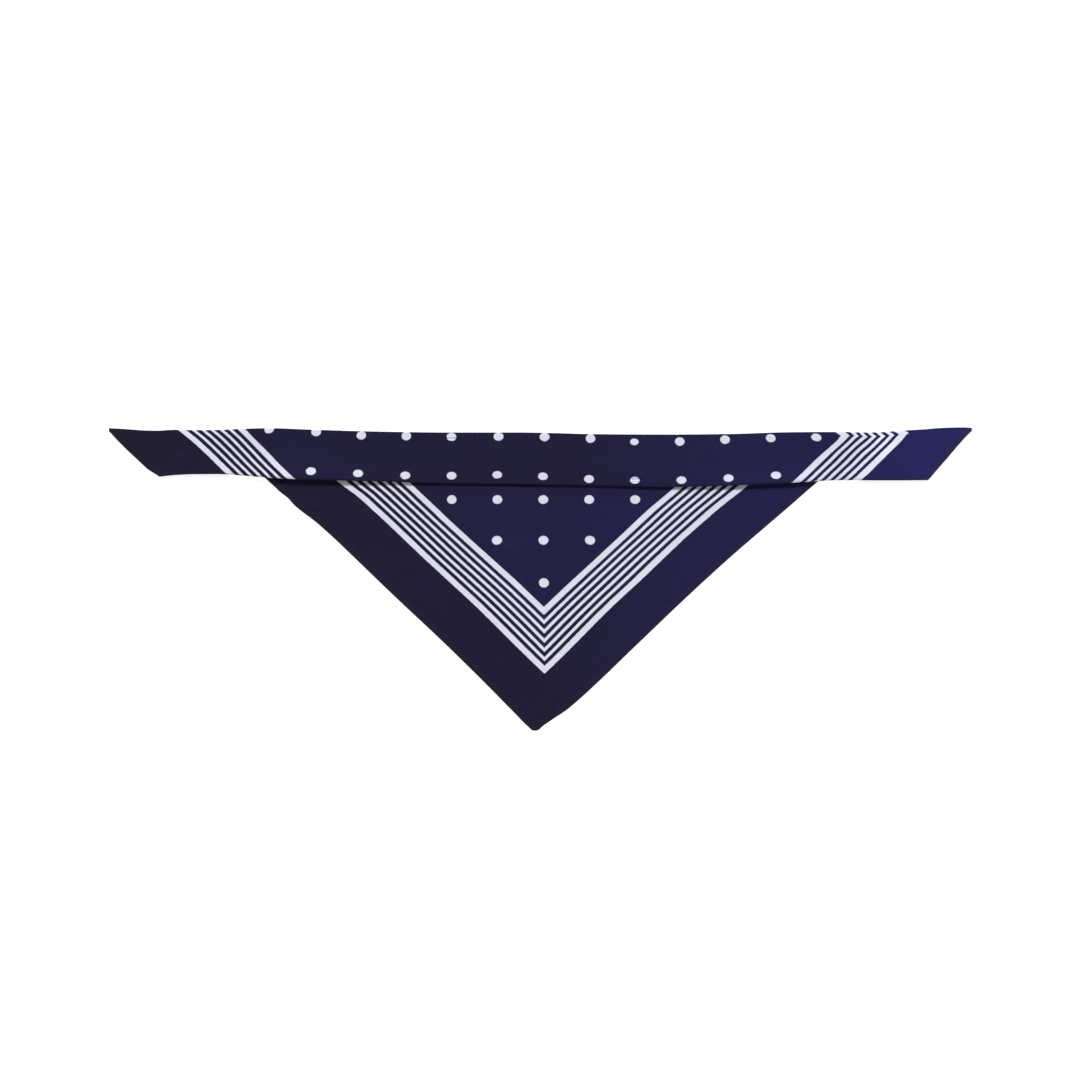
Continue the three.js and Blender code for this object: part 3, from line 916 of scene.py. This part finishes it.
def make_hidden():
    """The two layers inside the pleat, between the returns of the stretches that show."""
    made = []
    for lane, inset, right, name in ((3, 0, -1, "pleat_front_cloth"), (4, BACK_INSET, 1, "pleat_back_cloth")):
        short = RETURN_INNER if lane == 3 else RETURN_OUTER

        def low_of(q):
            return lower_fold(q)[0] + short + CUT_GAP

        def high_of(q, inset=inset, short=short):
            hem = np.minimum(hem_pleat(q) - inset, top_edge(q) - 1.5)
            return np.where(np.abs(q) > 301.5, hem, np.minimum(hem, top_fold(q)[0] - short - CUT_GAP))

        low, high = (
            crossing(lambda q: high_of(q) - low_of(q) - 0.8, -362, -310),
            crossing(lambda q: high_of(q) - low_of(q) - 0.8, 310, 365),
        )
        x = columns(low, high, 3.6, [(-304, -299, 0.8), (299, 304, 0.8)])
        start, end = low_of(x), high_of(x)
        cut = spaced(start, end, CUT_LINES)
        hem = spaced(end, start, HEM_LINES)[::-1]
        ys = np.vstack([cut, between(cut[-1], hem[0], 5, ends=False)[:-1], hem])
        s = lay(lane, x, ys, right)
        u, v = print_on_drop(np.broadcast_to(x, ys.shape), ys)
        v = -3.6 - v if lane == 3 else 3.9 + v
        made.append(shell(name, x, s, u, v, flip=right))
    return made


# ---------------------------------------------------------------- material
class Graph:
    """A material's nodes, made by short calls."""

    def __init__(self, name):
        self.material = bpy.data.materials.new(name)
        self.material.use_nodes = True
        self.nodes = self.material.node_tree.nodes
        self.links = self.material.node_tree.links
        self.nodes.clear()

    def put(self, socket, value):
        if isinstance(value, bpy.types.NodeSocket):
            self.links.new(value, socket)
        elif value is not None:
            socket.default_value = value

    def node(self, kind, settings=None, **inputs):
        made = self.nodes.new(kind)
        for k, value in (settings or {}).items():
            setattr(made, k, value)
        for k, value in inputs.items():
            self.put(made.inputs[k.replace("_", " ")], value)
        return made

    def math(self, operation, a, b=None, c=None, clamp=False):
        made = self.nodes.new("ShaderNodeMath")
        made.operation, made.use_clamp = operation, clamp
        for socket, value in zip(made.inputs, (a, b, c)):
            self.put(socket, value)
        return made.outputs[0]

    def step(self, value, low, high):
        """0 under low and 1 over high, smooth between; the two may be the other way round."""
        made = self.nodes.new("ShaderNodeMapRange")
        made.interpolation_type = "SMOOTHSTEP"
        if low < high:
            ends = (low, high, 0.0, 1.0)
        else:
            ends = (high, low, 1.0, 0.0)
        self.put(made.inputs["Value"], value)
        for k, end in zip(("From Min", "From Max", "To Min", "To Max"), ends):
            made.inputs[k].default_value = end
        return made.outputs["Result"]

    def ramp(self, share, stops):
        """A value that runs straight from stop to stop, each a place from 0 to 1 and the value there."""
        made = self.nodes.new("ShaderNodeValToRGB")
        self.links.new(share, made.inputs[0])
        elements = made.color_ramp.elements
        while len(elements) < len(stops):
            elements.new(0.5)
        for element, (place, value) in zip(elements, stops):
            element.position = place
            element.color = (value, value, value, 1)
        return made.outputs[0]

    def mix(self, share, a, b):
        made = self.nodes.new("ShaderNodeMix")
        made.data_type = "RGBA"
        self.put(made.inputs[0], share)
        for socket, value in ((made.inputs[6], a), (made.inputs[7], b)):
            if isinstance(value, bpy.types.NodeSocket):
                self.links.new(value, socket)
            else:
                socket.default_value = (*value, 1)
        return made.outputs[2]

    def noise(self, vector, scale, detail=2.0, rough=0.5):
        made = self.node("ShaderNodeTexNoise", {"noise_dimensions": "3D"}, Scale=scale, Detail=detail, Roughness=rough)
        self.links.new(vector, made.inputs["Vector"])
        return made.outputs[0]

    def vector(self, x, y, z=0.0):
        made = self.nodes.new("ShaderNodeCombineXYZ")
        for socket, value in zip(made.inputs, (x, y, z)):
            self.put(socket, value)
        return made.outputs[0]


# The border is seven white stripes, the outer two broad; sizes in dot pitches.
BROAD, NARROW, BETWEEN = 0.1790, 0.0897, 0.1109
DOT_RADIUS = 0.1045
BLEED = 0.011  # softness of the print's edge

# Colours as linear values.
INK_GREY = (0.0099, 0.0074, 0.0262)
# painted light: the navy as a bluish light from the right would show it, at the right tip
INK_IN_PAINTED_BLUE_LIGHT = (0.0144, 0.0144, 0.1030)
WHITE = (0.728, 0.742, 0.866)
INK_BACK = (0.030, 0.028, 0.078)
WHITE_BACK = (0.360, 0.370, 0.460)
# Painted light: how far the navy goes along u from the greyer ink at 0 to the bluest at 1, standing in for a bluish
# light from the right; among the dots, and outside the border.
PAINTED_BLUE_LIGHT_AMONG_DOTS = ((-6.6, 0.20), (-5.5, 0.24), (-3.5, 0.17), (0.8, 0.17), (2.4, 0.36), (4.0, 0.46), (6.4, 0.50))
PAINTED_BLUE_LIGHT_OUTSIDE_BORDER = ((-9.5, 0.00), (-4.0, 0.09), (-1.0, 0.07), (0.3, 0.10), (2.0, 0.33), (4.6, 0.50), (6.5, 0.60), (8.2, 1.0))


def stripes(g, s, u):
    """The border's white, from the distance out from the print's centre."""
    span = STRIPES_OUT - STRIPES_IN + 0.2
    share = g.math("DIVIDE", g.math("SUBTRACT", s, STRIPES_IN - 0.1), span, clamp=True)
    # each edge is a slope this wide to either side, and the white is where it is over a half
    slope = 0.035
    stops, at = [(0.0, 0)], STRIPES_IN
    for width in (BROAD, *[NARROW] * 5, BROAD):
        for place, value in ((at - slope, 0), (at + slope, 1), (at + width - slope, 1), (at + width + slope, 0)):
            stops.append(((place - STRIPES_IN + 0.1) / span, value))
        at += width + BETWEEN
    # the whites are printed a little broader towards the right
    over = g.math("SUBTRACT", g.ramp(share, stops), g.math("MULTIPLY_ADD", u, -0.0093, 0.5))
    return g.step(over, -0.5 * BLEED / slope, 0.5 * BLEED / slope)


def cotton(name):
    g = Graph(name)
    where = g.node("ShaderNodeUVMap", {"uv_map": "print"})
    split = g.node("ShaderNodeSeparateXYZ")
    g.links.new(where.outputs[0], split.inputs[0])
    u, v = split.outputs[0], split.outputs[1]
    make = g.node("ShaderNodeUVMap", {"uv_map": "make"})
    parts = g.node("ShaderNodeSeparateXYZ")
    g.links.new(make.outputs[0], parts.inputs[0])
    right, hem = g.step(parts.outputs[0], 0.45, 0.55), g.math("MULTIPLY", parts.outputs[1], 10.0)

    # along the two threads of the cloth, in millimetres
    half = DOT_PITCH * math.sqrt(0.5)
    warp = g.math("MULTIPLY", g.math("ADD", u, v), half)
    weft = g.math("MULTIPLY", g.math("SUBTRACT", u, v), half)
    cloth_mm = g.vector(warp, weft)
    au, av = g.math("ABSOLUTE", u), g.math("ABSOLUTE", v)

    # ---- the print
    wander = g.math("MULTIPLY", g.math("SUBTRACT", g.noise(cloth_mm, 0.42, 3.0), 0.5), 0.022)
    s = g.math("ADD", g.math("ADD", au, av), wander)
    border = stripes(g, s, u)
    ru, rv = g.math("FLOOR", g.math("ADD", u, 0.5)), g.math("FLOOR", g.math("ADD", v, 0.5))
    du, dv = g.math("SUBTRACT", u, ru), g.math("SUBTRACT", v, rv)
    away = g.math("SQRT", g.math("ADD", g.math("MULTIPLY", du, du), g.math("MULTIPLY", dv, dv)))
    away = g.math("ADD", away, wander)
    field = g.step(g.math("ADD", g.math("ABSOLUTE", ru), g.math("ABSOLUTE", rv)), 6.4, 6.2)
    dot = g.math("MULTIPLY", g.step(away, DOT_RADIUS + BLEED, DOT_RADIUS - BLEED), field)
    white = g.math("MAXIMUM", border, dot)

    # ---- painted light in the navy: greyer on the left, bluer among the dots of the drop and towards the right tip, standing in for a bluish light from the right
    along = g.math("MULTIPLY_ADD", u, 1 / 20, 0.5, clamp=True)
    middle, outside = (g.ramp(along, [(p / 20 + 0.5, k) for p, k in stops]) for stops in (PAINTED_BLUE_LIGHT_AMONG_DOTS, PAINTED_BLUE_LIGHT_OUTSIDE_BORDER))
    # painted light: bluer among the dots in the middle of the drop
    drop = g.math("MULTIPLY", g.step(av, 2.6, 4.4), g.step(au, 3.6, 1.2))
    middle = g.math("ADD", middle, g.math("MULTIPLY", drop, 0.17))
    out_there = g.step(s, 7.0, 7.7)
    painted_blue_light_and_tone = g.math("ADD", g.math("MULTIPLY", out_there, outside), g.math("MULTIPLY", g.math("SUBTRACT", 1.0, out_there), middle))
    fade = g.noise(cloth_mm, 0.013, 2.0)
    painted_blue_light_and_tone = g.math("ADD", painted_blue_light_and_tone, g.math("MULTIPLY", g.math("SUBTRACT", fade, 0.5), 0.22), clamp=True)
    ink = g.mix(painted_blue_light_and_tone, INK_GREY, INK_IN_PAINTED_BLUE_LIGHT)

    # ---- threads: a plain weave with uneven yarns
    yarn = 0.43
    a = g.math("SINE", g.math("MULTIPLY", warp, 2 * math.pi / yarn))
    b = g.math("SINE", g.math("MULTIPLY", weft, 2 * math.pi / yarn))
    weave = g.math("MULTIPLY", a, b)
    slub_a = g.noise(g.vector(g.math("MULTIPLY", warp, 2.1), g.math("MULTIPLY", weft, 0.085)), 1.0, 2.0)
    slub_b = g.noise(g.vector(g.math("MULTIPLY", warp, 0.085), g.math("MULTIPLY", weft, 2.1), 7.0), 1.0, 2.0)
    slub = g.math("SUBTRACT", g.math("ADD", slub_a, slub_b), 1.0)
    mottle = g.math("SUBTRACT", g.noise(cloth_mm, 0.11, 3.0, 0.6), 0.5)
    shade = g.math("ADD", 1.0, g.math("MULTIPLY", slub, 0.34))
    shade = g.math("ADD", shade, g.math("MULTIPLY", mottle, 0.26))
    shade = g.math("ADD", shade, g.math("MULTIPLY", weave, 0.05))
    # the ink is lighter and greyer near the hem's edge, fading out across the hem
    hem_lighter_greyer = g.node("ShaderNodeVectorMath", {"operation": "MULTIPLY"})
    g.links.new(ink, hem_lighter_greyer.inputs[0])
    hem_lighter_greyer.inputs[1].default_value = (1.26, 1.32, 0.90)
    ink = g.mix(g.step(hem, 6.2, 2.2), ink, hem_lighter_greyer.outputs[0])
    ink_now = g.node("ShaderNodeVectorMath", {"operation": "SCALE"})
    g.links.new(ink, ink_now.inputs[0])
    g.links.new(shade, ink_now.inputs["Scale"])
    white_tone_and_painted_light = g.math("ADD", 1.0, g.math("MULTIPLY", g.math("ADD", g.math("MULTIPLY", slub, 0.5), mottle), 0.07))
    # painted light: the whites are brighter towards the right tip
    white_tone_and_painted_light = g.math("ADD", white_tone_and_painted_light, g.math("MULTIPLY", g.step(u, 6.2, 7.6), 0.12))
    white_now = g.node("ShaderNodeVectorMath", {"operation": "SCALE"})
    white_now.inputs[0].default_value = WHITE
    g.links.new(white_tone_and_painted_light, white_now.inputs["Scale"])
    front = g.mix(white, ink_now.outputs[0], white_now.outputs[0])

    # ---- the wrong side: the print shows through the dye, paler and softer
    through = g.math("MULTIPLY", white, g.math("ADD", 0.8, g.math("MULTIPLY", mottle, 0.5)), clamp=True)
    back = g.mix(through, INK_BACK, WHITE_BACK)
    # the hem's turning shows the right side there
    turned = g.step(hem, 6.15, 5.95)
    back = g.mix(g.math("MULTIPLY", turned, 0.75), back, ink_now.outputs[0])
    colour = g.mix(right, back, front)

    # ---- stitching along the hem
    run = g.math("MULTIPLY", g.math("SUBTRACT", au, av), half)
    dash = g.math("FRACT", g.math("DIVIDE", run, 2.9))
    in_dash = g.math("MULTIPLY", g.step(dash, 0.06, 0.16), g.step(dash, 0.86, 0.76))
    line = g.math("MULTIPLY", g.step(hem, STITCH_IN - 0.32, STITCH_IN - 0.12), g.step(hem, STITCH_IN + 0.32, STITCH_IN + 0.12))
    stitch = g.math("MULTIPLY", in_dash, line)
    stitch_holes_dipped_and_shaded = g.math("MULTIPLY", g.math("SUBTRACT", 1.0, in_dash), line)
    colour = g.mix(g.math("MULTIPLY", stitch, 0.55), colour, (0.030, 0.028, 0.075))
    # painted shade: the stitch line between the dashes is darkened where it dips
    colour = g.mix(g.math("MULTIPLY", stitch_holes_dipped_and_shaded, 0.5), colour, (0.006, 0.005, 0.014))

    # ---- relief
    level = g.math("MULTIPLY", weave, 0.032)
    level = g.math("ADD", level, g.math("MULTIPLY", slub, 0.10))
    level = g.math("ADD", level, g.math("MULTIPLY", g.noise(cloth_mm, 0.30, 3.0, 0.6), 0.16))
    level = g.math("ADD", level, g.math("MULTIPLY", white, 0.012))
    level = g.math("ADD", level, g.math("MULTIPLY", stitch, 0.16))
    level = g.math("SUBTRACT", level, g.math("MULTIPLY", stitch_holes_dipped_and_shaded, 0.10))
    bump = g.node("ShaderNodeBump", None, Strength=0.6, Distance=0.001)
    g.links.new(level, bump.inputs["Height"])

    rough = g.math("ADD", 0.86, g.math("MULTIPLY", slub, 0.10))
    rough = g.math("SUBTRACT", rough, g.math("MULTIPLY", white, 0.04), clamp=True)
    shader = g.nodes.new("ShaderNodeBsdfPrincipled")
    g.links.new(colour, shader.inputs["Base Color"])
    g.links.new(rough, shader.inputs["Roughness"])
    g.links.new(bump.outputs[0], shader.inputs["Normal"])
    shader.inputs["Specular IOR Level"].default_value = 0.16
    shader.inputs["Sheen Weight"].default_value = 0.05
    shader.inputs["Sheen Roughness"].default_value = 0.45
    shader.inputs["Sheen Tint"].default_value = (0.62, 0.66, 0.90, 1)
    out = g.nodes.new("ShaderNodeOutputMaterial")
    g.links.new(shader.outputs[0], out.inputs["Surface"])
    return g.material


# ---------------------------------------------------------------- the scarf
printed = cotton("printed_cotton")
inside = cotton("printed_cotton_inside")

drop_front, drop_back, band = make_drop_front(), make_drop_back(), make_band()
pleat_front, pleat_back = make_hidden()


# The lines of the square between which each piece is cut: where it leaves off inside the pleat.
BAND_FRONT_TO, BAND_BACK_TO = 1.45, 1.58
TOP_FRONT_FROM, TOP_BACK_FROM = 2.20, 2.45
for piece, nodes, slot, low, high in (
    (drop_front, ["drop_front"], "printed_cotton", TOP_FRONT_FROM, HALF_DIAGONAL),
    (drop_back, ["drop_back"], "printed_cotton", TOP_BACK_FROM, HALF_DIAGONAL),
    (pleat_front, ["hidden_folds"], "printed_cotton_inside", BAND_FRONT_TO, TOP_FRONT_FROM),
    (pleat_back, ["hidden_folds"], "printed_cotton_inside", BAND_BACK_TO, TOP_BACK_FROM),
):
    piece.data.materials.append(printed if slot == "printed_cotton" else inside)
    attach(piece, "root")
    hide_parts(*nodes)
band.data.materials.append(printed)
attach(band, "root")
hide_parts("band_front")

# ---------------------------------------------------------------- floor, light and camera
FLOOR_ALBEDO, FLOOR_GLOW = 0.55, 0.78
floor_mesh = bpy.data.meshes.new("floor")
level = cad_low.z - 0.0002
around = np.linspace(0, 2 * math.pi, 145)[:-1]
# a wide sheet of paper that curves up into a wall all round, far off
profile = [(11.0, 0.0), (12.4, 0.0), (13.2, 0.12), (13.7, 0.42), (13.93, 0.85), (14.0, 1.4), (14.0, 3.2)]
n = len(around)
faces = [list(range(n))]
for k in range(len(profile) - 1):
    faces += [(k * n + i, (k + 1) * n + i, (k + 1) * n + (i + 1) % n, k * n + (i + 1) % n) for i in range(n)]
floor_mesh.from_pydata([(r * math.cos(a), r * math.sin(a), level + z) for r, z in profile for a in around], [], faces)
floor_mesh.shade_smooth()
floor = bpy.data.objects.new("floor", floor_mesh)
bpy.context.scene.collection.objects.link(floor)
g = Graph("studio_paper")
paper = g.nodes.new("ShaderNodeBsdfPrincipled")
grain = g.noise(g.node("ShaderNodeTexCoord").outputs["Object"], 3.0, 2.0)
g.links.new(g.mix(grain, (FLOOR_ALBEDO - 0.01,) * 3, (FLOOR_ALBEDO + 0.01,) * 3), paper.inputs["Base Color"])
paper.inputs["Roughness"].default_value = 0.95
paper.inputs["Specular IOR Level"].default_value = 0.0
paper.inputs["Emission Color"].default_value = (1, 1, 1, 1)
paper.inputs["Emission Strength"].default_value = FLOOR_GLOW
paper_out = g.nodes.new("ShaderNodeOutputMaterial")
g.links.new(paper.outputs[0], paper_out.inputs["Surface"])
floor_mesh.materials.append(g.material)
floor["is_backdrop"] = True

# A key from beyond the band, and a weaker, broad and slightly warm fill from the drop's side.
for name, energy, across_it, colour, above, aside in (
    ("key", 2.82, 13.0, (0.935, 0.958, 1.0), 47.0, 4.0),
    ("fill", 0.46, 60.0, (1.0, 0.85, 0.63), 36.0, 172.0),
):
    light = bpy.data.lights.new(name, "SUN")
    light.energy, light.angle, light.color = energy, math.radians(across_it), colour
    light_obj = bpy.data.objects.new(name, light)
    light_obj.rotation_euler = (-math.radians(90 - above), 0, math.radians(aside))
    bpy.context.scene.collection.objects.link(light_obj)

world = bpy.data.worlds.new("studio")
bpy.context.scene.world = world
world.use_nodes = True
world.node_tree.nodes["Background"].inputs[0].default_value = (1.0, 0.94, 0.81, 1)
world.node_tree.nodes["Background"].inputs[1].default_value = 0.24

view = bpy.context.scene.view_settings
view.view_transform, view.look, view.exposure, view.gamma = "Standard", "None", 0.0, 1.0

# Straight down. The photograph's frame is square, and the scarf lies a little below its middle.
FRAME_WIDTH = 1.0138 * MM * 1000  # at 3.5 mm above the surface
FRAME_RIGHT, FRAME_ABOVE = -0.47 * MM, 37.0 * MM
cam = bpy.data.cameras.new("camera")
cam.sensor_width, cam.lens = 36, 85
cam_obj = bpy.data.objects.new("camera", cam)
distance = FRAME_WIDTH / 2 * cam.lens / (cam.sensor_width / 2)
cam_obj.location = (CENTRE.x + FRAME_RIGHT, CENTRE.y + FRAME_ABOVE, cad_low.z + 3.5 * MM + distance)
cam_obj.rotation_euler = (0, 0, 0)
cam.clip_start, cam.clip_end = 0.05, 100
bpy.context.scene.collection.objects.link(cam_obj)
bpy.context.scene.camera = cam_obj

low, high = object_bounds()
